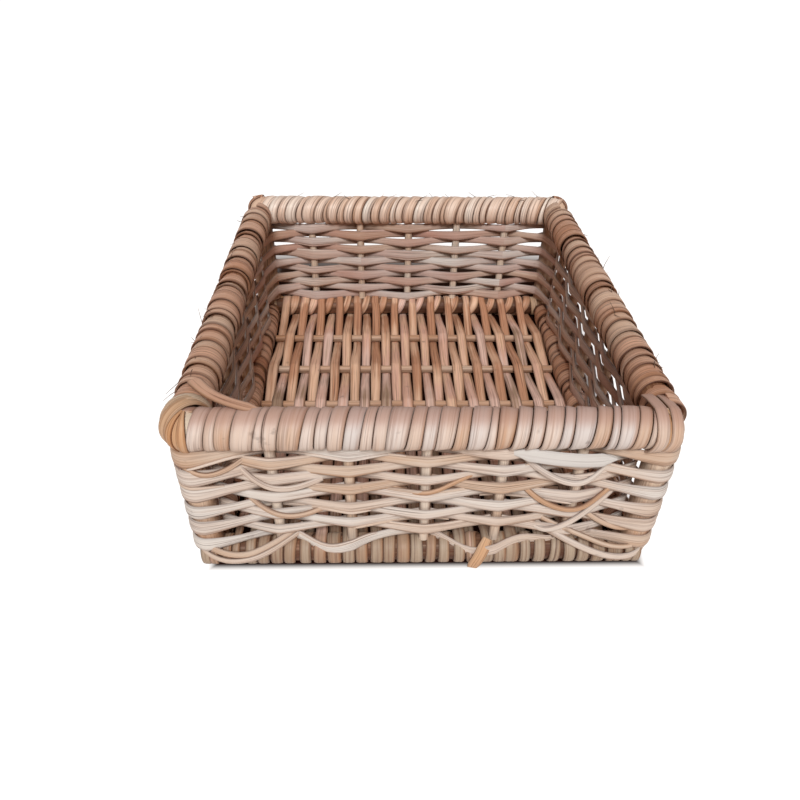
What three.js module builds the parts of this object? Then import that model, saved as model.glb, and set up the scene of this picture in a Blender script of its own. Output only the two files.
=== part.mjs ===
// Rattan serving basket: a rectangular open tray on four base rods, with a woven floor, four woven
// walls on upright stakes, and a rim of four thick rods bound with flat strips.
// Millimetres, +Z up, the front towards -Y. The origin is under the middle of the basket, on the
// surface that it stands on.
import * as THREE from 'three';

// Frame of the basket, between the axes of its rods
const rimWidth = 240;
const rimDepth = 300;
const wallHeight = 85;
const wallInset = 3.5;

// Rim rods and the flat strips bound round them; a rod's radius is half its width across flats
const rimRodRadius = 9.3;
const rimStripThickness = 1.4;
const rimStripWidth = 10.9;
const sideRimStripWidth = 11.5;

// Base rods, the strips bound round the side ones and round the back one's ends, and the strand
// that floors the basket
const baseRodRadius = 7.3;
const baseStripThickness = 1.2;
const baseStripWidth = 12.4;
const baseEndStripWidth = 5.2;
const floorStripWidth = 5.7;
const floorStripGap = 1.9;
const floorStickRadius = 2.8;
const floorStickCount = 5;
const floorStickBackRoom = 11;

// Uprights and the strands woven round them
const postRadius = 7;
const stakeRadius = 2.8;
const stakesPerWall = 5;
const weaverWidth = 5.2;
const weaverThickness = 1.8;
const weaverRowGap = 0.6;
const weaverCornerFlat = 5;

// Clearances: between pieces that bear on each other, between turns, and where a strand's ends meet
const seatGap = 0.3;
const floorWeaveGap = 0.4;
const turnGap = 0.5;
const strandEndGap = 0.6;

// Facets: steps in one turn of a binding, which are also the sides of the rod inside it
const turnSteps = 8;
const postSides = 12;
const poleSides = 8;

const halfStep = Math.PI / turnSteps;
const axisX = new THREE.Vector3(1, 0, 0);
const axisY = new THREE.Vector3(0, 1, 0);
const axisZ = new THREE.Vector3(0, 0, 1);

const rimRadius = rimRodRadius + seatGap + rimStripThickness;
const baseRadius = baseRodRadius + seatGap + baseStripThickness;
const baseZ = baseRadius;
const rimZ = baseZ + wallHeight;
const wallBottom = baseZ + baseRadius;
const wallTop = rimZ - rimRadius;

const basket = new THREE.Group();

function rattan(colour, roughness) {
  return new THREE.MeshStandardMaterial({ color: colour, roughness, metalness: 0 });
}

const rimStripCane = rattan(0xc39a72, 0.5);
const sideStripCane = rattan(0xb98762, 0.52);
const weaverCane = rattan(0xcdb08a, 0.6);
const stakeCane = rattan(0xd2b68c, 0.6);
const poleCane = rattan(0xb58a5e, 0.62);
const baseStripCane = rattan(0xc9a87f, 0.58);
const floorCane = rattan(0xc4955f, 0.58);

// Bindings: the radius of the rod inside, and the strip wound round it
const rimBinding = {
  rod: rimRodRadius,
  thickness: rimStripThickness,
  width: rimStripWidth,
  material: rimStripCane,
};
const sideRimBinding = { ...rimBinding, width: sideRimStripWidth, material: sideStripCane };
const baseBinding = {
  rod: baseRodRadius,
  thickness: baseStripThickness,
  width: baseStripWidth,
  material: baseStripCane,
};
const baseEndBinding = { ...baseBinding, width: baseEndStripWidth };

function add(name, geometry, material) {
  const mesh = new THREE.Mesh(geometry, material);
  mesh.name = name;
  basket.add(mesh);
  return mesh;
}

// Half the distance between the walls' middle planes at a height, across and from front to back
function wallHalf(size, z) {
  return size / 2 - wallInset * (1 - (z - baseZ) / wallHeight);
}

const baseHalfWidth = wallHalf(rimWidth, baseZ);
const baseHalfDepth = wallHalf(rimDepth, baseZ);

// Surface corners of a flat strip along a path, four to each station. The strip's width lies
// along widthAxis, the path turns in the plane across it, and each bend is mitred.
function stripCorners(path, widthAxis, width, thickness) {
  const normals = [];
  for (let i = 0; i + 1 < path.length; i += 1) {
    const run = path[i + 1].clone().sub(path[i]);
    normals.push(run.cross(widthAxis).normalize());
  }
  const corners = [];
  path.forEach((point, i) => {
    const before = normals[Math.max(i - 1, 0)];
    const after = normals[Math.min(i, normals.length - 1)];
    const mitre = before.clone().add(after).divideScalar(1 + before.dot(after));
    for (const [across, through] of [[-1, -1], [1, -1], [1, 1], [-1, 1]]) {
      const corner = point.clone().addScaledVector(widthAxis, (across * width) / 2);
      corners.push(corner.addScaledVector(mitre, (through * thickness) / 2));
    }
  });
  return corners;
}

// A closed solid from the corners of its stations
function stripSolid(corners) {
  const indices = [];
  const last = corners.length - 4;
  for (let base = 0; base < last; base += 4) {
    for (let side = 0; side < 4; side += 1) {
      const a = base + side;
      const b = base + ((side + 1) % 4);
      indices.push(a, b, b + 4, a, b + 4, a + 4);
    }
  }
  indices.push(0, 2, 1, 0, 3, 2);
  indices.push(last, last + 1, last + 2, last, last + 2, last + 3);
  const geometry = new THREE.BufferGeometry();
  geometry.setAttribute('position', new THREE.Float32BufferAttribute(corners.flatMap((c) => c.toArray()), 3));
  geometry.setIndex(indices);
  return outward(geometry);
}

// Turns the faces of a closed solid outward where the sweep left them facing in
function outward(geometry) {
  const position = geometry.getAttribute('position');
  const index = geometry.getIndex();
  const [a, b, c] = [new THREE.Vector3(), new THREE.Vector3(), new THREE.Vector3()];
  let volume = 0;
  for (let i = 0; i < index.count; i += 3) {
    a.fromBufferAttribute(position, index.getX(i));
    b.fromBufferAttribute(position, index.getX(i + 1));
    c.fromBufferAttribute(position, index.getX(i + 2));
    volume += a.dot(b.cross(c));
  }
  if (volume < 0) {
    index.array.reverse();
  }
  geometry.computeVertexNormals();
  return geometry;
}

// Least distance from a strand to itself, measured between points on its edges that lie more
// than half a turn apart along the strand
function leastGapToItself(corners, stationsApart) {
  const pointsPerEdge = 3;
  const points = [];
  for (let i = 0; i + 4 < corners.length; i += 1) {
    for (let k = 0; k < pointsPerEdge; k += 1) {
      const point = corners[i].clone().lerp(corners[i + 4], k / pointsPerEdge);
      points.push({ point, station: Math.floor(i / 4) + k / pointsPerEdge });
    }
  }
  let least = Infinity;
  for (let i = 0; i < points.length; i += 1) {
    for (let j = i + 1; j < points.length; j += 1) {
      if (points[j].station - points[i].station > stationsApart) {
        least = Math.min(least, points[i].point.distanceToSquared(points[j].point));
      }
    }
  }
  return Math.sqrt(least);
}

function addStrand(name, corners, material) {
  const gap = leastGapToItself(corners, turnSteps / 2);
  console.log(`${name}: least gap to itself ${gap.toFixed(2)} mm`);
  return add(name, stripSolid(corners), material);
}

// A rod with its flats level, between two points on its axis; radius is half its width across flats
function addRod(name, from, to, radius, material) {
  const length = from.distanceTo(to);
  const corner = radius / Math.cos(halfStep);
  const geometry = new THREE.CylinderGeometry(corner, corner, length, turnSteps);
  geometry.rotateY(halfStep);
  const mesh = add(name, geometry, material);
  mesh.quaternion.setFromUnitVectors(axisY, to.clone().sub(from).normalize());
  mesh.position.copy(from).add(to).divideScalar(2);
  return mesh;
}

// A strip wound in one layer round a straight rod, from one point on its axis to the other
function addBinding(name, from, to, binding) {
  const { rod, thickness, width, material } = binding;
  const along = to.clone().sub(from).normalize();
  const length = from.distanceTo(to);
  const turns = Math.floor((length - width) / (width + turnGap));
  const pitch = (length - width) / turns;
  const corner = (rod + seatGap + thickness / 2) / Math.cos(halfStep);
  const side = along.clone().cross(axisZ);
  const path = [];
  for (let step = 0; step <= turns * turnSteps; step += 1) {
    const angle = (2 * step + 1) * halfStep;
    const point = from.clone().addScaledVector(along, width / 2 + (pitch * step) / turnSteps);
    point.addScaledVector(axisZ, corner * Math.cos(angle));
    point.addScaledVector(side, corner * Math.sin(angle));
    path.push(point);
  }
  return addStrand(name, stripCorners(path, along, width, thickness), material);
}

// A round pole that may lean, with level ends
function addPole(name, bottom, top, radius, sides, material) {
  const height = top.z - bottom.z;
  const geometry = new THREE.CylinderGeometry(radius, radius, height, sides);
  geometry.rotateX(Math.PI / 2);
  const leanX = (top.x - bottom.x) / height;
  const leanY = (top.y - bottom.y) / height;
  geometry.applyMatrix4(new THREE.Matrix4().makeShear(0, 0, 0, 0, leanX, leanY));
  const mesh = add(name, geometry, material);
  mesh.position.copy(bottom).add(top).divideScalar(2);
  return mesh;
}

// Rim: the front and back rods run the full width, and the side rods butt between them
function buildRim() {
  const halfWidth = rimWidth / 2;
  const halfDepth = rimDepth / 2;
  const end = halfWidth + rimRadius;
  for (const [place, y] of [['front', -halfDepth], ['back', halfDepth]]) {
    const from = new THREE.Vector3(-end, y, rimZ);
    const to = new THREE.Vector3(end, y, rimZ);
    addRod(`rim_rod_${place}`, from, to, rimRodRadius, poleCane);
    addBinding(`rim_binding_${place}`, from, to, rimBinding);
  }
  const butt = halfDepth - rimRadius - seatGap;
  for (const [place, x] of [['left', -halfWidth], ['right', halfWidth]]) {
    const from = new THREE.Vector3(x, -butt, rimZ);
    const to = new THREE.Vector3(x, butt, rimZ);
    addRod(`rim_rod_${place}`, from, to, rimRodRadius, poleCane);
    addBinding(`rim_binding_${place}`, from, to, sideRimBinding);
  }
}

// Base: laid out as the rim is, with the side rods bound and the other two left to the floor strand
function buildBase() {
  const end = baseHalfWidth + baseRadius;
  for (const [place, y] of [['front', -baseHalfDepth], ['back', baseHalfDepth]]) {
    const from = new THREE.Vector3(-end, y, baseZ);
    addRod(`base_rod_${place}`, from, new THREE.Vector3(end, y, baseZ), baseRodRadius, poleCane);
  }
  const butt = baseHalfDepth - baseRadius - seatGap;
  for (const [place, x] of [['left', -baseHalfWidth], ['right', baseHalfWidth]]) {
    const from = new THREE.Vector3(x, -butt, baseZ);
    const to = new THREE.Vector3(x, butt, baseZ);
    addRod(`base_rod_${place}`, from, to, baseRodRadius, poleCane);
    addBinding(`base_binding_${place}`, from, to, baseBinding);
  }
}

// Floor: clear half width between the side bindings, and an even number of strips across it, so
// that the strand starts and ends on the front rod
const floorHalfWidth = baseHalfWidth - baseRadius - seatGap;
const floorStrips = 2 * Math.floor(floorHalfWidth / (floorStripWidth + floorStripGap));
const floorPitch = (2 * floorHalfWidth) / floorStrips;
function floorStripX(strip) {
  return -floorHalfWidth + (strip + 0.5) * floorPitch;
}

// The strand's extra turns at both ends of the front rod, from its outer end to the nearest strip
const floorEndRun = floorStripX(0) + baseHalfWidth + baseRadius - floorStripWidth / 2;
const floorEndTurns = Math.floor(floorEndRun / (floorStripWidth + turnGap));
const floorEndPitch = floorEndRun / floorEndTurns;

// Share of its sideways pitch that a turn has taken at each step. It moves over on the inner side
// of the rod only, between the strip that comes in there and the one that leaves.
function turnShift(step) {
  const inward = step - turnSteps / 2;
  const whole = Math.floor(inward / turnSteps);
  const shares = [0, 0.25, 0.75];
  return whole + (shares[inward - whole * turnSteps] ?? 1);
}

// Points of the floor strand round a base rod, from one step to another. Outside is +1 on the back
// rod, which the strand comes to over the top, and -1 on the front rod, which it comes to from
// beneath. Step 0 is the outer corner of the flat that it comes to.
function turnsOnBaseRod(outside, x, pitch, firstStep, lastStep) {
  const corner = (baseRodRadius + seatGap + baseStripThickness / 2) / Math.cos(halfStep);
  const points = [];
  for (let step = firstStep; step <= lastStep; step += 1) {
    const angle = (2 * step + 1) * halfStep;
    const y = outside * (baseHalfDepth + corner * Math.sin(angle));
    const z = baseZ + outside * corner * Math.cos(angle);
    points.push(new THREE.Vector3(x + pitch * turnShift(step), y, z));
  }
  return points;
}

// Floor sticks, evenly spaced from the front rod, with a little more room before the back one
function floorStickY(stick) {
  const spacing = (2 * baseHalfDepth - floorStickBackRoom) / (floorStickCount + 1);
  return -baseHalfDepth + (stick + 1) * spacing;
}

// Floor: one strand runs to and fro between the front and back rods, over and under the sticks, and
// goes once and a half round a rod at each end. It runs to the back over both rods and comes
// forward beneath both.
function buildFloor() {
  const halfTurn = turnSteps / 2;
  const weave = floorStickRadius + floorWeaveGap + baseStripThickness / 2;
  const endSteps = floorEndTurns * turnSteps;
  const path = turnsOnBaseRod(-1, floorStripX(0), floorEndPitch, halfTurn - endSteps, halfTurn);
  for (let strip = 0; strip < floorStrips; strip += 1) {
    const toBack = strip % 2 === 0;
    for (let n = 0; n < floorStickCount; n += 1) {
      const stick = toBack ? n : floorStickCount - 1 - n;
      const over = (n + strip) % 2 === 0 ? -1 : 1;
      path.push(new THREE.Vector3(floorStripX(strip), floorStickY(stick), baseZ + over * weave));
    }
    if (strip + 1 < floorStrips) {
      const outside = toBack ? 1 : -1;
      path.push(...turnsOnBaseRod(outside, floorStripX(strip), floorPitch, -1, halfTurn + turnSteps));
    }
  }
  const lastX = floorStripX(floorStrips - 1);
  path.push(...turnsOnBaseRod(-1, lastX, floorEndPitch, -1, halfTurn + endSteps));
  addStrand('floor_strand', stripCorners(path, axisX, floorStripWidth, baseStripThickness), floorCane);

  const reach = floorHalfWidth;
  for (let stick = 0; stick < floorStickCount; stick += 1) {
    const y = floorStickY(stick);
    const geometry = new THREE.CylinderGeometry(floorStickRadius, floorStickRadius, 2 * reach, poleSides);
    const mesh = add(`floor_stick_${stick + 1}`, geometry, stakeCane);
    mesh.rotation.z = Math.PI / 2;
    mesh.position.set(0, y, baseZ);
  }

  const outer = baseHalfWidth + baseRadius;
  const inner = floorHalfWidth - (floorPitch - floorStripWidth) / 2 + turnGap;
  for (const [place, side] of [['left', -1], ['right', 1]]) {
    const from = new THREE.Vector3(side * inner, baseHalfDepth, baseZ);
    const to = new THREE.Vector3(side * outer, baseHalfDepth, baseZ);
    addBinding(`base_end_binding_back_${place}`, from, to, baseEndBinding);
  }
}

// Uprights in order round the basket, starting with the front left corner and going towards the
// front right one. Each has its place in the plan as a share of the walls' half sizes.
function uprightsInOrder() {
  const corners = [[-1, -1], [1, -1], [1, 1], [-1, 1]];
  const walls = ['front', 'right', 'back', 'left'];
  const postNames = ['front_left', 'front_right', 'back_right', 'back_left'];
  const list = [];
  corners.forEach(([x, y], wall) => {
    const [nextX, nextY] = corners[(wall + 1) % corners.length];
    for (let n = 0; n <= stakesPerWall; n += 1) {
      const share = n / (stakesPerWall + 1);
      const place = new THREE.Vector2(x + (nextX - x) * share, y + (nextY - y) * share);
      const isPost = n === 0;
      const name = isPost ? `corner_post_${postNames[wall]}` : `stake_${walls[wall]}_${n}`;
      list.push({ name, place, isPost, wall });
    }
  });
  return list;
}

const uprights = uprightsInOrder();

function uprightAt(upright, z) {
  const x = upright.place.x * wallHalf(rimWidth, z);
  const y = upright.place.y * wallHalf(rimDepth, z);
  return new THREE.Vector3(x, y, z);
}

function buildUprights() {
  const bottom = wallBottom + seatGap;
  const top = wallTop - seatGap;
  for (const upright of uprights) {
    const radius = upright.isPost ? postRadius : stakeRadius;
    const sides = upright.isPost ? postSides : poleSides;
    const material = upright.isPost ? poleCane : stakeCane;
    addPole(upright.name, uprightAt(upright, bottom), uprightAt(upright, top), radius, sides, material);
  }
}

// Directions on a wall, numbered from the front to the right: along it, and outward
function wallDirections(wall) {
  const angle = (wall * Math.PI) / 2;
  const along = new THREE.Vector3(Math.cos(angle), Math.sin(angle), 0);
  return { along, out: along.clone().cross(axisZ) };
}

// A weaver's points at a stake: a short straight piece that bears on its outer or inner side
function pointsAtStake(upright, z, side) {
  const { along, out } = wallDirections(upright.wall);
  const offset = side * (stakeRadius + seatGap + weaverThickness / 2);
  const centre = uprightAt(upright, z).addScaledVector(out, offset);
  return [-stakeRadius, stakeRadius].map((shift) => centre.clone().addScaledVector(along, shift));
}

// A weaver's points round the outside of a corner post, an eighth of a turn apart and evenly to
// either side of the corner's diagonal
function pointsOutsidePost(upright, z) {
  const eighth = Math.PI / 4;
  const bend = (postRadius + seatGap + weaverThickness / 2) / Math.cos(eighth / 2);
  const diagonal = eighth * (2 * upright.wall - 3);
  return [-1.5, -0.5, 0.5, 1.5].map((steps) => {
    const angle = diagonal + steps * eighth;
    const spoke = new THREE.Vector3(Math.cos(angle), Math.sin(angle), 0);
    return uprightAt(upright, z).addScaledVector(spoke, bend);
  });
}

// A weaver's two points across the inside of a corner post. Each lies on the line that comes from
// the nearest stake and just clears the post, and together they cut the corner square.
function pointsInsidePost(upright, z, before, after) {
  const centre = uprightAt(upright, z);
  const clear = postRadius + seatGap + weaverThickness / 2;
  const inward = new THREE.Vector3(-Math.sign(upright.place.x), -Math.sign(upright.place.y), 0).normalize();
  return [before, after].map((neighbour) => {
    const reach = neighbour.clone().sub(centre);
    const away = inward.clone().cross(axisZ);
    if (away.dot(reach) < 0) {
      away.negate();
    }
    const bearing = Math.atan2(reach.dot(away), reach.dot(inward));
    const normal = bearing - Math.acos(clear / reach.length());
    const along = (weaverCornerFlat / 2) * Math.sin(normal);
    const deep = (clear - along) / Math.cos(normal);
    return centre.clone().addScaledVector(inward, deep).addScaledVector(away, weaverCornerFlat / 2);
  });
}

// Weavers: one strand for each row, alternately outside and inside the uprights, and the next row
// the other way. Its ends meet inside the wall, behind a stake of the back wall.
function buildWeavers() {
  const rows = Math.floor((wallTop - wallBottom - weaverRowGap) / (weaverWidth + weaverRowGap));
  const pitch = (wallTop - wallBottom) / rows;
  const firstBackStake = uprights.findIndex((u) => u.name === 'stake_back_1');
  for (let row = 0; row < rows; row += 1) {
    const z = wallBottom + (row + 0.5) * pitch;
    const sideOf = (index) => ((index + row) % 2 === 0 ? 1 : -1);
    const startIsInside = sideOf(firstBackStake) < 0;
    const start = firstBackStake + (startIsInside ? 0 : 1) + 2 * (row % 2);
    const path = [];
    for (let n = 0; n <= uprights.length; n += 1) {
      const index = (start + n) % uprights.length;
      const upright = uprights[index];
      if (!upright.isPost) {
        path.push(...pointsAtStake(upright, z, sideOf(index)));
      } else if (sideOf(index) > 0) {
        path.push(...pointsOutsidePost(upright, z));
      } else {
        const next = uprights[(index + 1) % uprights.length];
        const arriving = path[path.length - 1];
        const leaving = pointsAtStake(next, z, sideOf(index + 1))[0];
        path.push(...pointsInsidePost(upright, z, arriving, leaving));
      }
    }
    const { along } = wallDirections(uprights[start].wall);
    path[0].addScaledVector(along, stakeRadius + strandEndGap / 2);
    path[path.length - 1].addScaledVector(along, -stakeRadius - strandEndGap / 2);
    const corners = stripCorners(path, axisZ, weaverWidth, weaverThickness);
    add(`weaver_row_${String(row + 1).padStart(2, '0')}`, stripSolid(corners), weaverCane);
  }
}

buildRim();
buildBase();
buildFloor();
buildUprights();
buildWeavers();

export default basket;
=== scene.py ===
# %% [markdown]
# A rattan serving basket
#
# The basket is a frame of round rattan poles, bound with flat strips of the cane's skin, with
# walls and a floor woven from thinner strands. Every piece is a strand or a pole, so one idea makes
# them all: a flat grid is rolled into a tube and laid along the path that the weaver's hands gave
# it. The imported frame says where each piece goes.

# %% Frame and tools
import math

import bmesh
import bpy
import numpy as np
from mathutils import Euler, Matrix, Vector
from mathutils.geometry import convex_hull_2d


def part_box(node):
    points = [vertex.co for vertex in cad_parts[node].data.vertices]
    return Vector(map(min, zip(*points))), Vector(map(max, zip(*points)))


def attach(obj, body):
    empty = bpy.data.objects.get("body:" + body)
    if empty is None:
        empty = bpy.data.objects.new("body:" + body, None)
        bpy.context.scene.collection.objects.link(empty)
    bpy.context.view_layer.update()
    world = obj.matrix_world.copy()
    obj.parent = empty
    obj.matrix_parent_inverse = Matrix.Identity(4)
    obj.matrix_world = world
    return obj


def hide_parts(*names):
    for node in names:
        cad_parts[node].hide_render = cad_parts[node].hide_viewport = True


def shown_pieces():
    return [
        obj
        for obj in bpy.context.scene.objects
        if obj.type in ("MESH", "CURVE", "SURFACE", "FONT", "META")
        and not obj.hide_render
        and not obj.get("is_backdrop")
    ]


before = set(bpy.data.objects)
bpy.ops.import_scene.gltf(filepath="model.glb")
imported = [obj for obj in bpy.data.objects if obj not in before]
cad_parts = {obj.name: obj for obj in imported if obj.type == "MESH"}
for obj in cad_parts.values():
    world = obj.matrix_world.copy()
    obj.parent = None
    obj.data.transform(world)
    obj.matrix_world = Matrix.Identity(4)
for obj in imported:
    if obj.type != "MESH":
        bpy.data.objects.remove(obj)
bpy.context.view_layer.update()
mm = 0.001
print("frame with", len(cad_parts), "nodes")

# %% [markdown]
# Sizes from the frame
#
# The rim and the base are four rods each. Their axes and their thickness over the binding are all
# that the other pieces need, because the walls lie between the rim's axes and the base's.

# %% Places of the rods
def middle_of(node):
    low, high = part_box(node)
    return (low + high) / 2


def size_of(node):
    low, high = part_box(node)
    return high - low


rim_z = middle_of("rim_rod_front").z
base_z = middle_of("base_rod_front").z
rim_half_width = middle_of("rim_rod_right").x
rim_half_depth = middle_of("rim_rod_back").y
base_half_width = middle_of("base_rod_right").x
base_half_depth = middle_of("base_rod_back").y
rim_radius = size_of("rim_binding_front").z / 2
base_radius = size_of("floor_strand").z / 2
wall_top = rim_z - rim_radius
wall_bottom = base_z + base_radius
print(f"rim {rim_half_width * 2:.3f} by {rim_half_depth * 2:.3f} m, {rim_z:.4f} m up")

# %% [markdown]
# Camera
#
# The photograph looks down into the basket from the front, a little from the left. A camera
# fitted to the corners of the rim and the base gives these values.

# %% Camera
camera_place = Vector((-24.0, -459.0, 321.0)) * mm
camera_pitch = math.radians(34.22)
camera_yaw = math.radians(1.81)
camera_roll = math.radians(0.88)
focal_pixels = 774.7
frame_pixels = 800
sensor = 36.0
lens = sensor * focal_pixels / frame_pixels


def add_camera():
    data = bpy.data.cameras.new("photo_camera")
    data.sensor_width = sensor
    data.lens = lens
    data.clip_start = 0.01
    camera = bpy.data.objects.new("photo_camera", data)
    bpy.context.scene.collection.objects.link(camera)
    turn = Euler((math.pi / 2 - camera_pitch, 0, -camera_yaw)).to_matrix().to_4x4()
    camera.matrix_world = Matrix.Translation(camera_place) @ turn @ Matrix.Rotation(camera_roll, 4, "Z")
    bpy.context.scene.camera = camera


add_camera()
print(f"camera {camera_place.length:.3f} m from the basket's middle, with a lens of {lens:.1f} mm")

# %% [markdown]
# Shader values
#
# A finish is worked out as sums and products of patterns. Writing them as Python expressions reads
# better than naming every Math node, so a small class wraps a socket and adds the nodes.

# %% Fields
class Field:
    """An output socket of a shader node that can be added, multiplied and so on."""

    def __init__(self, finish, outputs, index=0):
        self.finish = finish
        self.outputs = outputs
        self.index = index

    @property
    def socket(self):
        return self.outputs[self.index]

    def output(self, index):
        """Another output of the same node, by its number or its name."""
        return Field(self.finish, self.outputs, index)

    def math(self, operation, first, second):
        return self.finish.node("ShaderNodeMath", {"operation": operation}, [first, second])

    def __add__(self, other):
        return self.math("ADD", self, other)

    def __sub__(self, other):
        return self.math("SUBTRACT", self, other)

    def __rsub__(self, other):
        return self.math("SUBTRACT", other, self)

    def __mul__(self, other):
        return self.math("MULTIPLY", self, other)

    def __pow__(self, other):
        return self.math("POWER", self, other)

    def above(self, low, high):
        """0 below low, 1 above high, and smooth between them."""
        return self.finish.node("ShaderNodeMapRange", {"interpolation_type": "SMOOTHSTEP"}, [self, low, high])

    __radd__ = __add__
    __rmul__ = __mul__


# %% [markdown]
# A material collects such fields. One method adds any node: its settings are set first, a colour
# ramp's stops among them, and then its sockets are given values or linked to fields.

# %% Finishes
class Finish:
    """The shader nodes of a material or of the world, under construction."""

    def __init__(self, owner):
        self.owner = owner
        self.owner.use_nodes = True
        self.tree = self.owner.node_tree
        self.tree.nodes.clear()

    def node(self, kind, settings=None, inputs=()):
        node = self.tree.nodes.new(kind)
        for key, value in (settings or {}).items():
            if key == "stops":
                set_stops(node.color_ramp.elements, value)
            else:
                setattr(node, key, value)
        pairs = inputs.items() if isinstance(inputs, dict) else enumerate(inputs)
        for key, value in pairs:
            if isinstance(value, Field):
                self.tree.links.new(value.socket, node.inputs[key])
            else:
                node.inputs[key].default_value = value
        return Field(self, node.outputs)

    def vector(self, x, y, z):
        return self.node("ShaderNodeCombineXYZ", None, [x, y, z])

    def parts(self, vector):
        return self.node("ShaderNodeSeparateXYZ", None, [vector])

    def object_place(self):
        return self.node("ShaderNodeTexCoord").output("Object")

    def pattern(self, place, scale=1.0, detail=2.0):
        inputs = {"Vector": place, "Scale": scale, "Detail": detail}
        return self.node("ShaderNodeTexNoise", None, inputs)

    def blend(self, share, first, second):
        """A mix of two colours. The Mix node has its sockets for colours at these numbers."""
        inputs = {0: share, 6: first, 7: second}
        return self.node("ShaderNodeMix", {"data_type": "RGBA"}, inputs).output(2)

    def attribute(self, name):
        return self.node("ShaderNodeAttribute", {"attribute_name": name}).output("Fac")

    def done(self, shader, output="ShaderNodeOutputMaterial"):
        self.node(output, None, {"Surface": shader})
        return self.owner


def set_stops(elements, colours):
    """Spreads the colours evenly over a colour ramp."""
    for n, shade in enumerate(colours):
        place = n / (len(colours) - 1)
        if 0 < n < len(colours) - 1:
            elements.new(place)
        elements[n].position = place
        elements[n].color = shade


def colour(red, green, blue):
    """A colour as it is read off a swatch, 0 to 255, in the renderer's linear values."""
    shares = [channel / 255 for channel in (red, green, blue)]
    linear = [s / 12.92 if s <= 0.04045 else ((s + 0.055) / 1.055) ** 2.4 for s in shares]
    return (*linear, 1.0)


# %% [markdown]
# Rattan
#
# Rattan is a climbing palm. Its skin is split into flat strips with a satin face, and its core is
# drawn into matt round and oval strands. Both show long pores along the strand, a tone that
# changes along it, hairline splits and spots of dirt. Each strand also darkens along its edges,
# where it meets its neighbours, which is partly dirt and partly painted shade. Each strand carries
# a map in metres, along and round it, so that the grain follows every bend, and attributes for its
# tone and for the place across its face. The numbers beside along and across say how fine a
# pattern is: a pore is a few hundredths of a metre long and under a millimetre wide.

# %% Rattan finish
grain_map = "cane"
dark_grain = colour(104, 60, 44)
# One colour serves the dirt in splits and spots and the painted shade at the edges of every strand.
dirt_and_edge_shade = colour(62, 30, 20)


def rattan(name, shades, rust, wear_and_shade, streak=0.5, gloss=0.08, roughness=0.56, top_wear_and_shade=0.0, inner=0.0, edges=0.7):
    """The cane's finish. Faces that look up brown by a share, which is wear and painted shade on top. Inner
    browns the back of a strand, which is less bleaching and painted shade. Edges darken, partly dirt and
    partly painted shade.
    """
    make = Finish(bpy.data.materials.new(name))
    place = make.parts(make.node("ShaderNodeUVMap", {"uv_map": grain_map}))
    along, across = place.output("X"), place.output("Y")
    strand, tone = make.attribute("strand"), make.attribute("tone")
    side, face = make.attribute("side"), make.attribute("face")
    where = make.object_place()

    drift = make.pattern(make.vector(along * 14, strand * 3.7, 0.3), detail=2.0)
    stripe = make.pattern(make.vector(along * 12, across * 420, strand * 5.3), detail=2.0)
    pores = make.pattern(make.vector(along * 30, across * 1500, strand * 2.3), detail=3.0)
    fibres = make.pattern(make.vector(along * 160, across * 5200, strand * 1.1), detail=2.0)
    spots = make.pattern(where, scale=110.0, detail=3.0)
    clouds = make.pattern(where, scale=21.0, detail=2.0)

    shade = tone + (drift - 0.5) * 0.7 + (stripe - 0.5) * 0.55 + (clouds - 0.5) * 0.35
    skin = make.node("ShaderNodeValToRGB", {"stops": shades}, [shade])
    skin = make.blend(side.above(0.3, 0.95) * drift.above(0.35, 0.6) * 0.55, skin, rust)
    skin = make.blend(pores.above(0.47, 0.7) * streak, skin, dark_grain)
    skin = make.blend((1 - pores).above(0.52, 0.72) * streak * 0.5, skin, shades[0])
    if inner:
        # Painted shade, with less bleaching: the back of a strand and its upper and lower edges turn darker
        # and warmer.
        skin = make.blend((0 - face).above(-0.35, 0.3) * (drift * -1.8 + inner), skin, wear_and_shade)
    if top_wear_and_shade:
        # Wear and painted shade: faces that look up turn browner.
        normal = make.parts(make.node("ShaderNodeNewGeometry").output("Normal"))
        skin = make.blend(normal.output("Z").above(0.35, 0.95) * top_wear_and_shade, skin, wear_and_shade)
    splits = make.pattern(make.vector(along * 9, across * 800, strand * 9.1), detail=1.0)
    skin = make.blend(splits.above(0.68, 0.75) * 0.5, skin, dirt_and_edge_shade)
    skin = make.blend(spots.above(0.68, 0.8) * 0.4, skin, dirt_and_edge_shade)
    # Partly dirt, partly painted shade: each strand darkens toward its edges, where it meets its neighbours.
    edge = side * side
    skin = make.blend((edge ** 2.5) * (stripe + 0.35) * edges, skin, dirt_and_edge_shade)

    relief = {"Strength": 0.6, "Distance": 0.3 * mm, "Height": pores * 0.6 + fibres * 0.4}
    surface = {
        "Base Color": skin,
        "Roughness": pores * 0.3 + (roughness - 0.15),
        "Specular IOR Level": 0.25,
        "Coat Weight": (1 - pores) * gloss,
        "Coat Roughness": 0.35,
        "Normal": make.node("ShaderNodeBump", None, relief),
    }
    return make.done(make.node("ShaderNodeBsdfPrincipled", None, surface))


# %% [markdown]
# The shades of each kind of strand run from the palest to the most orange. The rim's strips were
# pale and have browned on top, where hands hold them, and that browning is also painted shade on
# faces that look up. The weavers are bleached on the outside and stay warmer and darker on the
# inside of the walls, which is partly less bleaching and partly painted shade.

# %% Finishes of the basket
rust = colour(188, 132, 86)
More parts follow.
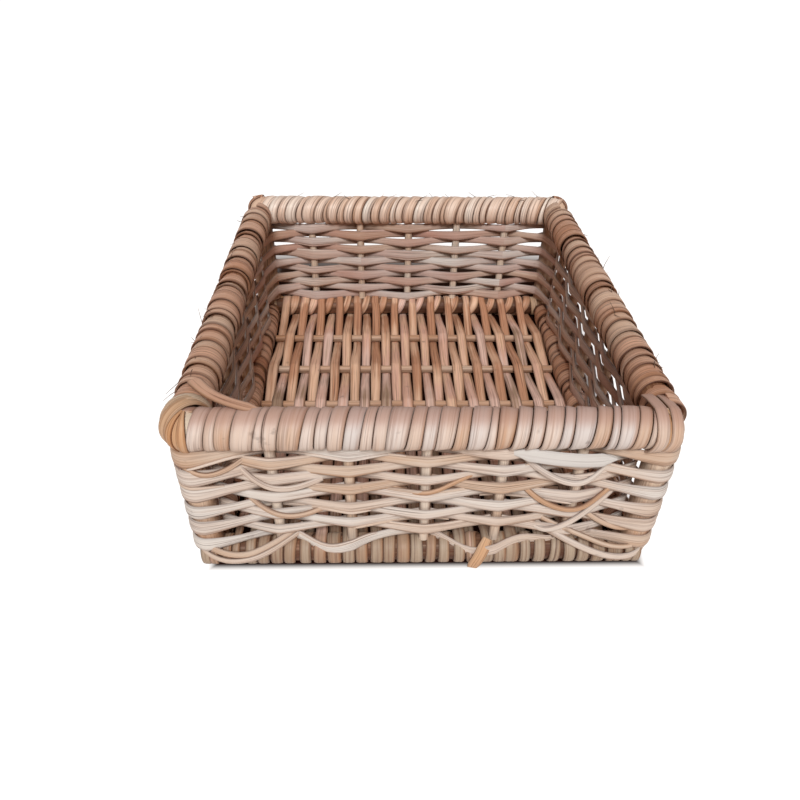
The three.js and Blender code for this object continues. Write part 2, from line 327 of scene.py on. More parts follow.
# Worn brown for the tops, which is also painted shade on faces that look up.
worn_and_shaded_top = colour(184, 144, 128)
shaded = colour(188, 136, 118)
rim_shades = [colour(220, 212, 207), colour(228, 212, 200), colour(212, 184, 162), colour(198, 150, 114)]
back_shades = [colour(252, 240, 226), colour(246, 220, 200), colour(228, 188, 158), colour(184, 130, 94)]
side_shades = [colour(230, 198, 172), colour(222, 178, 150), colour(204, 152, 120), colour(176, 116, 82)]
weaver_shades = [colour(226, 221, 214), colour(221, 206, 193), colour(210, 188, 168), colour(201, 163, 131)]
stake_shades = [colour(228, 214, 198), colour(220, 198, 176), colour(208, 172, 144), colour(188, 142, 108)]
# The hidden poles are dark, painted shade for the chinks between turns where they show.
shaded_pole_shades = [colour(204, 168, 134), colour(184, 138, 102), colour(148, 104, 76), colour(100, 68, 48)]
base_shades = [colour(222, 206, 184), colour(220, 190, 158), colour(206, 164, 126), colour(194, 138, 88)]
splint_shades = [colour(218, 216, 212), colour(214, 209, 202), colour(206, 196, 184), colour(196, 180, 162)]
# The fibres are dark, painted shade for hairs that stand in shadow.
shaded_fibre_shades = [colour(150, 124, 100), colour(126, 98, 76), colour(102, 76, 58), colour(82, 60, 46)]
floor_shades = [
    colour(176, 158, 138), colour(160, 136, 114), colour(176, 146, 122), colour(240, 206, 190),
    colour(230, 184, 162), colour(242, 202, 170), colour(200, 148, 116),
]

finishes = {
    "rim_strip": rattan("rim_strip", rim_shades, rust, worn_and_shaded_top, streak=0.4, gloss=0.12, top_wear_and_shade=0.7, edges=0.5),
    "back_strip": rattan("back_strip", back_shades, rust, worn_and_shaded_top, streak=0.65, gloss=0.3, roughness=0.45),
    "side_strip": rattan("side_strip", side_shades, rust, worn_and_shaded_top, streak=0.7, edges=0.9),
    "weaver": rattan("weaver", weaver_shades, rust, shaded, streak=0.45, inner=1.22),
    "stake": rattan("stake", stake_shades, rust, shaded, streak=0.35),
    "pole": rattan("pole", shaded_pole_shades, rust, worn_and_shaded_top),
    "base_strip": rattan("base_strip", base_shades, rust, worn_and_shaded_top),
    "floor_strip": rattan("floor_strip", floor_shades, rust, worn_and_shaded_top, edges=1.0),
    "splint": rattan("splint", splint_shades, rust, shaded, streak=0.1, edges=0.3),
    "fibre": rattan("fibre", shaded_fibre_shades, rust, shaded),
}
print("finishes:", ", ".join(finishes))

# %% [markdown]
# Random but repeatable
#
# No two turns of hand work are alike. A smooth random line gives each strand its own uneven width
# and course. It takes a seed, so that the basket comes out the same each time.

# %% Smooth randomness
def drift_line(values, seed, spacing=1.0):
    """A smooth random line from -1 to 1 with a new level at each spacing. The values start at 0."""
    place = np.atleast_1d(np.asarray(values, float)) / spacing
    levels = np.random.default_rng(seed).uniform(-1, 1, int(place.max()) + 3)
    whole = np.floor(place).astype(int)
    share = place - whole
    share = share * share * (3 - 2 * share)
    return levels[whole] * (1 - share) + levels[whole + 1] * share


def rounded(points, passes=3):
    """Cuts the corners of an open line of points until it runs smoothly."""
    points = np.array(points, float)
    for _ in range(passes):
        first = points[:-1] * 0.75 + points[1:] * 0.25
        second = points[:-1] * 0.25 + points[1:] * 0.75
        inner = np.stack([first, second], axis=1).reshape(-1, points.shape[1])
        points = np.concatenate([points[:1], inner[1:-1], points[-1:]])
    return points


def run_along(points):
    """Distance along a line of points."""
    steps = np.linalg.norm(np.diff(points[:, :3], axis=0), axis=1)
    return np.concatenate([[0.0], np.cumsum(steps)])


print("a random line that is the same each time:", np.round(drift_line(np.arange(5), 1), 2))

# %% [markdown]
# Laying a strand
#
# A path says at each station where the strand is, which way its width lies and which way its face
# looks, and how wide and thick it is there. A flat strip so keeps its flat side to what it is
# wound round.

# %% Paths and sections
flat_section = [
    (-0.5, -0.05), (-0.485, 0.28), (-0.43, 0.44), (-0.2, 0.5), (0.2, 0.5), (0.43, 0.44), (0.485, 0.28),
    (0.5, -0.05), (0.46, -0.4), (0.2, -0.5), (-0.2, -0.5), (-0.46, -0.4),
]
section_points = 10
oval_section = [
    (0.5 * math.copysign(abs(math.cos(a)) ** 0.7, math.cos(a)), 0.5 * math.sin(a))
    for a in (2 * math.pi * n / section_points for n in range(section_points))
]
round_section = [
    (0.5 * math.cos(2 * math.pi * n / section_points), 0.5 * math.sin(2 * math.pi * n / section_points))
    for n in range(section_points)
]


def unit(vectors):
    return vectors / np.linalg.norm(vectors, axis=-1, keepdims=True)


class Path:
    """Stations of one strand: points, directions across and out, width, thickness and tone."""

    def __init__(self, points, across, width, thickness, seed, out=None, tone=0.4):
        self.points = np.array(points, float)[:, :3]
        count = len(self.points)
        run = unit(np.gradient(self.points, axis=0))
        across = np.broadcast_to(np.array(across, float), (count, 3))
        if out is None:
            across = unit(across - run * np.sum(across * run, axis=1)[:, None])
            out = np.cross(across, run)
        self.across = across
        self.out = np.broadcast_to(np.array(out, float), (count, 3))
        self.width = np.broadcast_to(np.array(width, float), (count,))
        self.thickness = np.broadcast_to(np.array(thickness, float), (count,))
        self.tone = np.broadcast_to(np.array(tone, float), (count,))
        self.along = run_along(self.points)
        self.seed = seed


print("sections with", len(flat_section), "and", section_points, "points")

# %% [markdown]
# To make the strand, a grid with one row of squares to a step is rolled round its section and bent
# along the path. Where its long edges meet they are merged, and its ends are filled, so that every
# strand is a closed body. The grain map is written before that, while the long edges are apart.

# %% Rolling a grid into a strand
merge_distance = 1e-7
strand_numbers = 97


def points_of(mesh):
    flat = np.zeros(len(mesh.vertices) * 3)
    mesh.vertices.foreach_get("co", flat)
    return flat.reshape(-1, 3)


def write_grain(mesh, along, girth, values):
    """Writes the grain map, in metres along and round the strand, and one attribute for each value."""
    corner = np.zeros(len(mesh.loops), int)
    mesh.loops.foreach_get("vertex_index", corner)
    grain = mesh.uv_layers.new(name=grain_map)
    grain.data.foreach_set("uv", np.stack([along[corner], girth[corner]], axis=1).ravel())
    for name, numbers in values.items():
        layer = mesh.attributes.new(name, "FLOAT", "POINT")
        layer.data.foreach_set("value", numbers.astype(np.float32))


def lay(section, path):
    """A closed mesh of the section swept along the path, with its grain map and attributes."""
    stations, sides = len(path.points), len(section)
    sheet = bmesh.new()
    bmesh.ops.create_grid(sheet, x_segments=stations - 1, y_segments=sides, size=1)
    mesh = bpy.data.meshes.new("strand")
    sheet.to_mesh(mesh)
    sheet.free()
    grid = (points_of(mesh) + 1) / 2
    station = np.rint(grid[:, 0] * (stations - 1)).astype(int)
    number = np.rint(grid[:, 1] * sides).astype(int)
    outline = np.array(section)[number % sides]
    over = (outline[:, 0] * path.width[station])[:, None] * path.across[station]
    outward = (outline[:, 1] * path.thickness[station])[:, None] * path.out[station]
    mesh.vertices.foreach_set("co", (path.points[station] + over + outward).ravel())
    scaled = np.array(section) * (path.width.mean(), path.thickness.mean())
    steps = np.linalg.norm(np.roll(scaled, -1, axis=0) - scaled, axis=1)
    girth = np.concatenate([[0.0], np.cumsum(steps)])[number]
    values = {
        "tone": path.tone[station],
        "side": outline[:, 0] * 2,
        "face": outline[:, 1] * 2,
        "strand": np.full(len(station), path.seed % strand_numbers + 0.5),
    }
    write_grain(mesh, path.along[station], girth, values)
    return close_tube(mesh)


def close_tube(mesh):
    """Merges the rolled grid's long edges and fills its two ends."""
    tube = bmesh.new()
    tube.from_mesh(mesh)
    bmesh.ops.remove_doubles(tube, verts=tube.verts, dist=merge_distance)
    bmesh.ops.holes_fill(tube, edges=[edge for edge in tube.edges if edge.is_boundary], sides=0)
    bmesh.ops.recalc_face_normals(tube, faces=tube.faces)
    tube.to_mesh(mesh)
    tube.free()
    return mesh


# %% [markdown]
# A piece is one strand or several that belong together. It becomes an object with its finish, and
# rides on the basket's one body.

# %% Pieces
sharp_angle = math.radians(55)


def add_piece(name, meshes, finish, *replaced, slot=None):
    """Makes one object of the meshes, gives it its finish and hands it to the frame."""
    together = bmesh.new()
    for mesh in meshes:
        together.from_mesh(mesh)
        bpy.data.meshes.remove(mesh)
    mesh = bpy.data.meshes.new(name)
    together.to_mesh(mesh)
    together.free()
    mesh.polygons.foreach_set("use_smooth", [True] * len(mesh.polygons))
    mesh.set_sharp_from_angle(angle=sharp_angle)
    mesh.materials.append(finishes[finish])
    piece = bpy.data.objects.new(name, mesh)
    bpy.context.scene.collection.objects.link(piece)
    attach(piece, "root")
    if replaced:
        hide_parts(*replaced)


# %% [markdown]
# Bound rim
#
# A binding is one strip wound round a pole, each turn against the last or a little over it. The
# strip's width changes, its edges wander, and a turn that laps over its neighbour stands proud of
# it. The helix is a formula, and a random line moves the joints between turns, so that the right
# edge of a turn always knows where the next turn's left edge is.

# %% Bindings
turn_steps = 36
up = np.array([0, 0, 1.0])


def binding(
    start, end, radius, turns, strip, lap, seed,
    overlap=0.0, reverse=False, jitter=0.24, tone=0.4, mottle=0.42, sway=0.0,
):
    """A helix from start to end. With a positive lap a turn's far edge lies over the next turn."""
    start, end = np.array(start), np.array(end)
    length = np.linalg.norm(end - start)
    axis = (end - start) / length
    side = np.cross(axis, up) * (-1 if reverse else 1)
    pitch = length / (turns + 1)
    turn = np.arange(turns * turn_steps + 1) / turn_steps
    angle = 2 * math.pi * turn
    slant = pitch * sway * np.sin(angle)
    near = pitch * (turn + jitter * drift_line(turn, seed)) + slant
    far = pitch * (turn + 1 + jitter * drift_line(turn + 1, seed)) + slant
    if lap > 0:
        far = far + overlap
    else:
        near = near - overlap * (1 + 0.9 * drift_line(turn, seed + 4))
    height = lap * (1 + 0.8 * drift_line(turn, seed + 1))
    spoke = np.cos(angle)[:, None] * up + np.sin(angle)[:, None] * side
    reach = radius - strip / 2 - np.abs(height) / 2 + 0.25 * mm * drift_line(turn, seed + 2, 0.7)
    points = start + axis * ((near + far) / 2)[:, None] + spoke * reach[:, None]
    tilt = (height / (far - near))[:, None]
    shade = tone + mottle * drift_line(turn + 0.3, seed + 3, 1.0)
    return Path(
        points, unit(axis + spoke * tilt), far - near, strip, seed, out=unit(spoke - axis * tilt), tone=shade
    )


rim_strip = 1.3 * mm
front_turns, back_turns, side_turns = 31, 36, 29
front_ends = (-rim_half_width - 2 * mm, rim_half_width - 1 * mm)
back_ends = (-rim_half_width - 5 * mm, rim_half_width + 4 * mm)
side_end = rim_half_depth - 8 * mm


def add_front_and_back_rim():
    y = -rim_half_depth
    path = binding(
        (front_ends[0], y, rim_z), (front_ends[1], y, rim_z), rim_radius + 0.2 * mm, front_turns, rim_strip,
        lap=-0.7 * mm, seed=11, overlap=-0.2 * mm, reverse=True, tone=0.33, jitter=0.34, sway=0.12,
    )
    add_piece("rim_bound_front", [lay(flat_section, path)], "rim_strip", "rim_binding_front")
    path = binding(
        (back_ends[0], -y, rim_z), (back_ends[1], -y, rim_z), rim_radius + 0.2 * mm, back_turns, rim_strip,
        lap=-0.9 * mm, seed=12, overlap=-0.3 * mm, reverse=True, tone=0.33, jitter=0.38, mottle=0.26,
        sway=0.8,
    )
    add_piece("rim_bound_back", [lay(flat_section, path)], "back_strip", "rim_binding_back", slot="rim_strip")


def add_side_rim(place, side, inward, outward, seed):
    """Binds a side rod. Its axis may start a little inward and end a little outward."""
    start = (side * (rim_half_width - inward), side_end, rim_z)
    end = (side * (rim_half_width + outward), -side_end, rim_z)
    path = binding(
        start, end, rim_radius + 0.3 * mm, side_turns, rim_strip,
        lap=1.7 * mm, seed=seed, overlap=1.8 * mm, reverse=side < 0, jitter=0.36, tone=0.3,
    )
    add_piece(f"rim_bound_{place}", [lay(flat_section, path)], "side_strip", f"rim_binding_{place}")


add_front_and_back_rim()
add_side_rim("left", -1, 0, 0, 15)
add_side_rim("right", 1, 1.2 * mm, 1.0 * mm, 19)
print("rim bound on four sides")

# %% [markdown]
# Rim corners
#
# At a corner the binding can't go on in turns, so the pole's round end is covered with strips that
# fan out over it like the lines of a melon. At the front left the side rim's last turns swing round
# over them.

# %% Fans over the pole ends
corners = {"front_left": (-1, -1), "front_right": (1, -1), "back_right": (1, 1), "back_left": (-1, 1)}
ball_radius = rim_radius + 0.9 * mm
core_radius = ball_radius - 1.9 * mm
thin_strip = 1.2 * mm
arc_steps = 30
fan_bands = 6
fan_spread = math.radians(108)
fan_low, fan_high = -82, 84


def flat_direction(bearing, sign_x, sign_y):
    """A level direction at a corner: 0 looks out from the front or back rim, 90 degrees past its end."""
    return np.array([sign_x * math.sin(bearing), sign_y * math.cos(bearing), 0])


def arc(centre, outward, radius, first, last, width, thickness, seed, tone):
    """A strip on an upright arc. Its angle goes from the level direction outward up over the top."""
    angle = np.radians(np.linspace(first, last, arc_steps))
    spoke = np.cos(angle)[:, None] * outward + np.sin(angle)[:, None] * up
    width = np.broadcast_to(width, angle.shape)
    return Path(centre + spoke * radius, np.cross(up, outward), width, thickness, seed, out=spoke, tone=tone)


def add_corner_fan(name, sign_x, sign_y, seed):
    """A round core at the pole's end, with bands over it. At the front right it lies farther in."""
    inset = 4.5 * mm if name == "front_right" else 1.5 * mm
    centre = np.array([sign_x * (rim_half_width - inset), sign_y * rim_half_depth, rim_z])
    core = bmesh.new()
    bmesh.ops.create_uvsphere(core, u_segments=20, v_segments=12, radius=core_radius)
    bmesh.ops.translate(core, verts=core.verts, vec=centre)
    mesh = bpy.data.meshes.new("core")
    core.to_mesh(mesh)
    core.free()
    meshes = [mesh]
    step = fan_spread / fan_bands
    for n in range(fan_bands):
        outward = flat_direction(step * (n + 0.2), sign_x, sign_y)
        angle = np.radians(np.linspace(fan_low, fan_high, arc_steps))
        width = 1.05 * ball_radius * step * np.cos(angle) + 0.9 * mm
        tone = 0.5 + 0.4 * drift_line(n, seed)[0]
        reach = ball_radius - 0.6 * mm - 0.6 * mm * (n % 2)
        band = arc(centre, outward, reach, fan_low, fan_high, width, thin_strip, seed + n, tone)
        meshes.append(lay(flat_section, band))
    add_piece(f"rim_corner_{name}", meshes, "base_strip" if sign_y < 0 else "side_strip", slot="rim_strip")


for seed, (name, (sign_x, sign_y)) in enumerate(corners.items(), start=4):
    add_corner_fan(name, sign_x, sign_y, seed * 10)
print(len(corners), "corners, each under", fan_bands, "bands")

# %% [markdown]
# The side rims' last strips lap over the ends of the front rim. At the front left they swing round
# a corner, and one long tail is tucked away along the inner edge. At the front right two strips go
# straight on over the end and down.

# %% Strips that lap over the corners
lap_low, lap_high = -48, 205


def add_lapping_turns(name, sign_x, sign_y, bearings, seed):
    """The side rim's last turns. Each is swung round by its bearing in degrees and lies a little higher."""
    meshes = []
    for n, degrees in enumerate(bearings):
        bearing = math.radians(90 - degrees)
        outward = flat_direction(bearing, sign_x, sign_y)
        back = (9.5 - 2.6 * n) * mm
        centre = np.array([sign_x * rim_half_width, sign_y * (rim_half_depth - back), rim_z])
        reach = rim_radius + (0.9 + 0.35 * n) * mm
        width = (8.2 + 1.2 * drift_line(n, seed)[0]) * mm
        tone = 0.4 + 0.3 * drift_line(n, seed + 1)[0]
        turn = arc(centre, outward, reach, lap_low, lap_high, width, thin_strip, seed + n, tone)
        meshes.append(lay(flat_section, turn))
    add_piece(f"rim_lap_{name}", meshes, "base_strip", slot="rim_strip")


def loose_strip(points, across, width, thickness, seed, tone=0.4, taper=0.35, blunt=1.0):
    """A loose strip along a few points given in millimetres. Its last end can be more blunt."""
    points = rounded(np.array(points, float) * mm, 4)
    share = np.linspace(0, 1, len(points))
    ends = taper + (1 - taper) * np.minimum(1, np.minimum(share, (1 - share) * blunt) * 7) ** 0.6
    return lay(flat_section, Path(points, across, width * ends, thickness, seed, tone=tone))


add_lapping_turns("front_left", -1, -1, (14, 27, 41), 70)
tail_points = [
    (-124, -112, 100), (-119, -124, 105.6), (-110, -137, 106.6), (-99, -144, 106), (-88, -147, 104.4),
    (-80, -148, 102.6),
]
tail = loose_strip(tail_points, (-0.5, -1, 0.15), 8.2 * mm, 1.1 * mm, 81, tone=0.35, taper=0.15)
add_piece("rim_tail", [tail], "side_strip")


def over_the_end(x, lean, seed, tone):
    """A strip that runs forward on top of the right rim and turns down over the front one's end."""
    reach = rim_radius + 1.1 * mm
    lean = math.radians(lean)
    angle = np.radians(np.linspace(90, -62, 26))
    inner = reach * math.cos(lean)
    bend = [(x, -rim_half_depth - inner * math.cos(a), rim_z + inner * math.sin(a)) for a in angle]
    top = rim_z + inner
    start = [(x - 1 * mm, -rim_half_depth + run * mm, top - sunk * mm) for run, sunk in ((17, 4), (9, 1))]
    points = np.array(start + bend)
    points[:, 0] -= 2.2 * mm * np.clip((rim_z - points[:, 2]) / rim_radius, 0, 1)
    across = np.array([-math.cos(lean), 0, math.sin(lean)])
    return lay(flat_section, Path(rounded(points, 2), across, 6.0 * mm, thin_strip, seed, tone=tone))


strips = [
    over_the_end(rim_half_width - 6.5 * mm, lean=-4, seed=84, tone=0.6),
    over_the_end(rim_half_width + 0.5 * mm, lean=12, seed=85, tone=0.8),
]
add_piece("rim_end_strips", strips, "rim_strip")
print("rim corners covered")

# %% [markdown]
# Poles
#
# The poles inside the bindings show only at a few chinks, and the corner posts and stakes show
# between the weavers. A rattan pole is nearly round, bows slightly, and has a low ring where a
# leaf grew.

# %% Poles
base_pole_gap = 6 * mm
pole_share = 0.97


def pole(start, end, diameter, seed, bow=0.3 * mm, stations=24, tone=0.4):
    """A round pole that bows a little and swells at one ring. The seed places the ring."""
    start, end = np.array(start, float), np.array(end, float)
    share = np.linspace(0, 1, stations)
    length = np.linalg.norm(end - start)
    axis = (end - start) / length
    across = np.array([1.0, 0, 0]) if abs(axis[0]) < 0.5 else np.array([0, 1.0, 0])
    second = np.cross(axis, across)
    swing = (np.sin(share * math.pi) * bow)[:, None]
    points = start + (end - start) * share[:, None]
    points = points + across * swing * drift_line(share, seed, 0.4)[:, None]
    points = points + second * swing * drift_line(share, seed + 1, 0.4)[:, None]
    knot = 0.35 + 0.3 * (seed * 0.37 % 1)
    ring = np.exp(-(((share - knot) * length / (2.2 * mm)) ** 2))
    size = diameter * (1 + 0.025 * drift_line(share, seed + 2, 0.2) + 0.04 * ring)
    shade = tone + 0.25 * drift_line(share, seed + 3, 0.3)
    return lay(round_section, Path(points, across, size, size, seed, tone=shade))


def add_frame_rod(node, name, seed):
    """Runs a pole where a rod of the frame is, thinner by a little to stay inside its binding."""
    low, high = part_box(node)
    middle, size = (low + high) / 2, high - low
    long_axis = 0 if size.x > size.y else 1
    start, end = middle.copy(), middle.copy()
    start[long_axis], end[long_axis] = low[long_axis], high[long_axis]
    in_rim = size.z > 2 * base_radius
    if in_rim or long_axis == 0:
        start[long_axis] += rim_radius if in_rim else base_pole_gap
        end[long_axis] -= rim_radius if in_rim else base_pole_gap
    # Tone 0.9 takes the darkest of the pole's shades, painted shade for the chinks where it shows.
    cane = pole(start, end, size.z * pole_share, seed, bow=0.2 * mm, stations=40, tone=0.9)
    add_piece(name, [cane], "pole", node)


for seed, side in enumerate(("front", "back", "left", "right"), start=1):
    add_frame_rod(f"rim_rod_{side}", f"rim_pole_{side}", 120 + seed)
    add_frame_rod(f"base_rod_{side}", f"base_pole_{side}", 130 + seed)
print("eight poles inside the bindings")

# %% [markdown]
# Uprights
#
# Four posts stand in the corners and five thinner stakes in each wall. They lean outward with the
# walls, from the base rods to the rim.

# %% Posts and stakes
post_size = size_of("corner_post_front_left")
post_lean = (rim_half_width - base_half_width) * post_size.z / (rim_z - base_z)
post_radius = (post_size.x - post_lean) / 2
stake_radius = size_of("stake_front_3").x / 2
walls = ("front", "right", "back", "left")
stake_tones = (0.2, 0.75, 0.3, 0.75)
post_tone = 0.55
stakes_per_wall = 5
cane_per_radius = 2.15
run_into_rod = 0.8 * mm


def wall_half(rim_half, base_half, z):
    """Half the distance between the middle planes of two facing walls at a height."""
    return base_half + (rim_half - base_half) * (z - base_z) / (rim_z - base_z)


def wall_point(share_x, share_y, z):
    x = share_x * wall_half(rim_half_width, base_half_width, z)
    y = share_y * wall_half(rim_half_depth, base_half_depth, z)
    return np.array([x, y, z])


def uprights_in_order():
    """Posts and stakes round the basket from the front left, placed as shares of its half sizes."""
    found = []
    places = list(corners.items())
    for wall, (name, (x, y)) in enumerate(places):
        next_x, next_y = places[(wall + 1) % len(places)][1]
        found.append({"name": f"corner_post_{name}", "x": x, "y": y, "post": True, "wall": wall})
        for n in range(1, stakes_per_wall + 1):
            share = n / (stakes_per_wall + 1)
            place = {"x": x + (next_x - x) * share, "y": y + (next_y - y) * share}
            found.append({"name": f"stake_{walls[wall]}_{n}", "post": False, "wall": wall, **place})
    return found


uprights = uprights_in_order()


def add_uprights():
    """Runs a cane where each post and stake is, a little thicker and a little into the rods' bindings."""
    for seed, upright in enumerate(uprights, start=150):
        bottom = wall_point(upright["x"], upright["y"], wall_bottom - run_into_rod)
        top = wall_point(upright["x"], upright["y"], wall_top + run_into_rod)
        radius = post_radius if upright["post"] else stake_radius
        tone = post_tone if upright["post"] else stake_tones[upright["wall"]]
        cane = pole(bottom, top, cane_per_radius * radius, seed, tone=tone)
        add_piece(upright["name"] + "_cane", [cane], "stake", upright["name"])


add_uprights()
print(f"{len(uprights)} uprights, posts {post_radius * 2:.4f} m and stakes {stake_radius * 2:.4f} m thick")

# %% [markdown]
# Woven walls
#
# Each row of a wall is one strand that passes outside one upright and inside the next, and the row
# above does the opposite. The strand is stiff, so it goes straight across a stake, and slants
# through the wall between stakes. Round a corner post it bends on the outside, or cuts the corner
# on the inside. Each point here has the strand's side of the wall and whether it is at a post
# beside its place, and these are smoothed with it.

# %% Course of a row
weaver_thickness = 1.9 * mm
seat = 0.3 * mm
corner_flat = 5 * mm
rows = sorted(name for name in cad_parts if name.startswith("weaver_row_"))
row_pitch = (wall_top - wall_bottom) / len(rows)


def wall_directions(wall):
    angle = wall * math.pi / 2
    return np.array([math.cos(angle), math.sin(angle), 0]), np.array([math.sin(angle), -math.cos(angle), 0])


def at_stake(upright, z, side):
    """The straight stretch across a stake, outside it for side 1 and inside it for side -1."""
    along, out = wall_directions(upright["wall"])
    clear = stake_radius + seat + weaver_thickness / 2
    centre = wall_point(upright["x"], upright["y"], z) + out * side * clear
    return [centre - along * stake_radius, centre + along * stake_radius]


def outside_post(upright, z):
    """Four points on an eight-sided bend round the outside of a post."""
    eighth = math.pi / 4
    bend = (post_radius + seat + weaver_thickness / 2) / math.cos(eighth / 2)
    diagonal = eighth * (2 * upright["wall"] - 3)
    centre = wall_point(upright["x"], upright["y"], z)
    angles = [diagonal + steps * eighth for steps in (-1.5, -0.5, 0.5, 1.5)]
    return [centre + bend * np.array([math.cos(a), math.sin(a), 0]) for a in angles]


def inside_post(upright, z, before, after):
    """The short flat across the inside of a post, met by straight runs that just clear the post."""
    centre = wall_point(upright["x"], upright["y"], z)
    clear = post_radius + seat + weaver_thickness / 2
    inward = unit(np.array([-np.sign(upright["x"]), -np.sign(upright["y"]), 0]))
    points = []
    for neighbour in (before, after):
        reach = neighbour - centre
        away = np.cross(inward, up)
        if away @ reach < 0:
            away = -away
        bearing = math.atan2(reach @ away, reach @ inward)
        normal = bearing - math.acos(clear / np.linalg.norm(reach))
        deep = (clear - corner_flat / 2 * math.sin(normal)) / math.cos(normal)
        points.append(centre + inward * deep + away * corner_flat / 2)
    return points


def row_course(row, z):
    """Points of one row, each with its side of the wall and how much it is at a post."""
    first = next(n for n, upright in enumerate(uprights) if upright["name"] == "stake_back_1")

    def side_of(index):
        return 1 if (index + row) % 2 == 0 else -1

    start = first + (0 if side_of(first) < 0 else 1) + 2 * (row % 2)
    points, marks = [], []
    for n in range(len(uprights) + 1):
        index = (start + n) % len(uprights)
        upright = uprights[index]
        if not upright["post"]:
            added = at_stake(upright, z, side_of(index))
        elif side_of(index) > 0:
            added = outside_post(upright, z)
        else:
            leaving = at_stake(uprights[(index + 1) % len(uprights)], z, side_of(index + 1))[0]
            added = inside_post(upright, z, points[-1], leaving)
        points += added
        marks += [(side_of(index), float(upright["post"]))] * len(added)
    along = wall_directions(uprights[start]["wall"])[0]
    points[0] = points[0] + along * stake_radius
    points[-1] = points[-1] - along * stake_radius
    return rounded(np.concatenate([points, marks], axis=1))


print(f"{len(rows)} rows, {row_pitch:.4f} m apart")

# %% [markdown]
# A real weaver is widest where it lies flat on a stake and turns a little on edge where it slants
# through the wall. Round the corners it spreads out. Some stretches are doubled with a thinner
# strand that was laid in beside the first. The lowest row is slack in three places on the front,
# given here by the middle, the reach and the depth of each sag in millimetres.

# %% Weavers
slant_width = 6.0 * mm
flat_width = 7.6 * mm
post_width = 9.8 * mm
unevenness = 1.1 * mm
closing_run = 70 * mm
slack = ((-52, 17, 6.5), (27, 19, 7.0), (72, 14, 5.0))


def hang_down(course):
    """Lets the lowest row sag and stand out from the front wall where the weaver left it slack."""
    for x, reach, depth in slack:
        in_front = course[:, 1] < -base_half_depth + 3 * mm
        near = np.exp(-(((course[:, 0] - x * mm) / (reach * mm)) ** 2)) * in_front
        course[:, 2] -= near * depth * mm
        course[:, 1] -= near * 0.75 * depth * mm


def closed_drift(along, seed, spacing):
    """A random line along a strand, led back over the last stretch to the value at the start."""
    values = drift_line(along, seed, spacing)
    near_end = np.clip((along - along[-1]) / closing_run + 1, 0, 1)
    return values + (values[0] - values[-1]) * near_end


def weaver_path(row, z):
    course = row_course(row, z)
    along = run_along(course)
    side, post = course[:, 3], course[:, 4]
    lift = unevenness * closed_drift(along, row + 200, 0.045)
    course[:, 2] += lift * (1 - 0.6 * post)
    if row == 0:
        hang_down(course)
    outside_corner = post * np.clip(side, 0, 1)
    width = slant_width + (flat_width - slant_width) * np.abs(side) ** 1.5
    width = width * (1 + 0.17 * closed_drift(along, row + 220, 0.06))
    width = width + (post_width - flat_width) * outside_corner
    tone = 0.32 + 0.55 * closed_drift(along, row + 240, 0.1) + 0.14 * math.sin(row * 2.1)
    return Path(course, -up, width, weaver_thickness, row + 200, tone=tone)


def laid_in(main, start, length, seed):
    """A thin strand beside the first for a while, above or below it."""
    chosen = (main.along >= start) & (main.along <= start + length)
    above = 1 if seed % 2 else -1
    points = main.points[chosen].copy()
    share = np.linspace(0, 1, len(points))
    points -= main.across[chosen] * (above * (main.width[chosen] / 2 - 0.1 * mm))[:, None]
    points += main.out[chosen] * 0.35 * mm
    ends = np.minimum(1, np.minimum(share, 1 - share) * 9) ** 0.5
    width = 2.1 * mm * (0.3 + 0.7 * ends)
    return Path(points, -up, width, 1.7 * mm, seed, tone=0.25 + 0.4 * (seed * 0.31 % 1))


def add_weavers():
    random = np.random.default_rng(5)
    for row, node in enumerate(rows):
        main = weaver_path(row, wall_bottom + (row + 0.5) * row_pitch)
        meshes = [lay(oval_section, main)]
        for n in range(4):
            start, length = random.uniform(0, main.along[-1] - 0.04), random.uniform(0.035, 0.11)
            meshes.append(lay(oval_section, laid_in(main, start, length, 300 + row * 7 + n)))
        add_piece(f"weaver_{row + 1:02d}", meshes, "weaver", node)


add_weavers()
print(len(rows), "rows woven")

# %% [markdown]
# Near the front corners the lowest strands run out in loops that hang before the base, and thin
# strands cross from one row to the next where the weaver changed over. Under the rim a wide pale
# splint is laid in at the right, and one stray orange strip slants over the base.

# %% Loose ends on the front wall
def loose_loop(points, width, seed, tone):
    """A thin oval strand along a few points given in millimetres, its width upright."""
    points = rounded(np.array(points, float) * mm, 4)
    return lay(oval_section, Path(points, -up, width, 1.9 * mm, seed, tone=tone))


left_loop = [
    (-126, -141, 29), (-124, -151, 23), (-112, -156, 15), (-97, -156.5, 12.5), (-84, -153, 17),
    (-74, -149, 22), (-66, -144, 25),
]
left_double = [
    (-126, -142, 23), (-122, -153, 15), (-110, -156.8, 9), (-95, -156.8, 9.5), (-83, -154, 14),
    (-73, -149.5, 19), (-65, -144, 22),
]
corner_loop = [
    (58, -144, 28), (68, -149, 24), (84, -154.5, 17), (100, -157, 11), (115, -156, 9.5), (124, -150, 14),
    (126, -142, 22),
]
corner_double = [
    (60, -144, 32), (70, -149.5, 29), (86, -154, 24), (101, -156.5, 18), (115, -155, 16.5), (124, -149, 20),
    (126, -142, 27),
]
loops = [
    loose_loop(left_loop, 4.4 * mm, 501, 0.62),
    loose_loop(left_double, 3.6 * mm, 502, 0.5),
    loose_loop(corner_loop, 4.6 * mm, 505, 0.3),
    loose_loop(corner_double, 3.4 * mm, 506, 0.7),
]
add_piece("front_loops", loops, "weaver")


def on_front(points, width, tone, seed):
    """A thin strand over the front wall. Its points give x, height and the way out from the wall."""
    placed = [(x, -wall_half(rim_half_depth, base_half_depth, z * mm) / mm - out, z) for x, z, out in points]
    return loose_loop(placed, width * mm, seed, tone)


